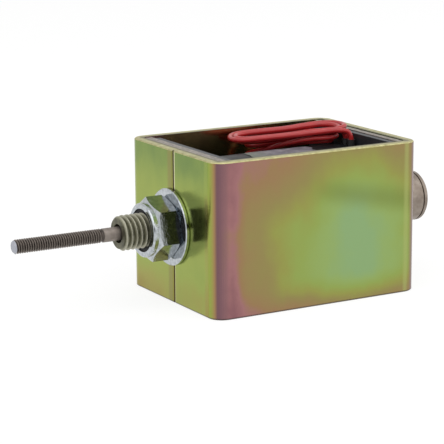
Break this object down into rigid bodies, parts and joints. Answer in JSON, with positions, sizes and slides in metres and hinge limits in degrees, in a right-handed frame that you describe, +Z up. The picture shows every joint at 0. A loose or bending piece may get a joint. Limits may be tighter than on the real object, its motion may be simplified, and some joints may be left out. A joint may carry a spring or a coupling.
{
  "type": "push pull solenoid",
  "caption": "Open-frame push-pull solenoid: bent steel box frame, wound coil, sliding plunger and a threaded push rod through a threaded mounting nose.",
  "frame": {"origin": "centre of the overall length and width, at the frame's bottom rim", "axes": "+X along the solenoid's axis towards the plunger end, +Y across the frame, +Z up out of the open top"},
  "size_m": [0.1324, 0.0506, 0.046],
  "materials": {
    "chromated_steel": "bent mild steel strip, yellow iridescent zinc chromate, semi-bright",
    "plate_steel": "sheared steel plate, thin dull zinc",
    "core_steel": "turned free-cutting steel, drab olive plating",
    "bright_zinc": "bright bluish zinc",
    "plunger_steel": "ground steel with a thin dull plating",
    "rod_steel": "steel rod with a rolled thread, dull",
    "brass": "drawn brass",
    "black_moulding": "glass-filled nylon",
    "insulating_wrap": "polyester insulating film",
    "copper_wire": "enamelled copper wire, layer wound",
    "black_tape": "black polyester tape",
    "grey_film": "thin grey adhesive film",
    "black_sleeving": "insulating sleeving",
    "solder": "soft solder",
    "red_lead": "red soft plastic insulation",
    "tinned_wire": "tinned stranded copper"
  },
  "bodies": {
    "housing": {"frame_shell": "chromated_steel", "nose_end_plate": "plate_steel", "plunger_end_plate": "plate_steel", "fixed_core": "core_steel", "rod_bush": "brass", "guide_tube": "brass", "bobbin": "black_moulding", "inner_wrap": "insulating_wrap", "winding": "copper_wire", "coil_tape": "black_tape", "crown_film": "grey_film", "lead_sleeves": "black_sleeving", "lead_joints": "solder", "lead_a": "red_lead", "lead_b": "red_lead", "lead_hank": "red_lead", "lead_tips": "tinned_wire", "mounting_washer": "bright_zinc", "mounting_nut": "bright_zinc", "nut_insert": "black_moulding"},
    "moving_core": {"plunger": "plunger_steel", "residual_washer": "brass", "push_rod": "rod_steel"}
  },
  "joints": [
    {"name": "plunger_slide", "type": "slide", "parent": "housing", "child": "moving_core", "axis": [-1, 0, 0], "range_m": [0, 0.01]}
  ]
}
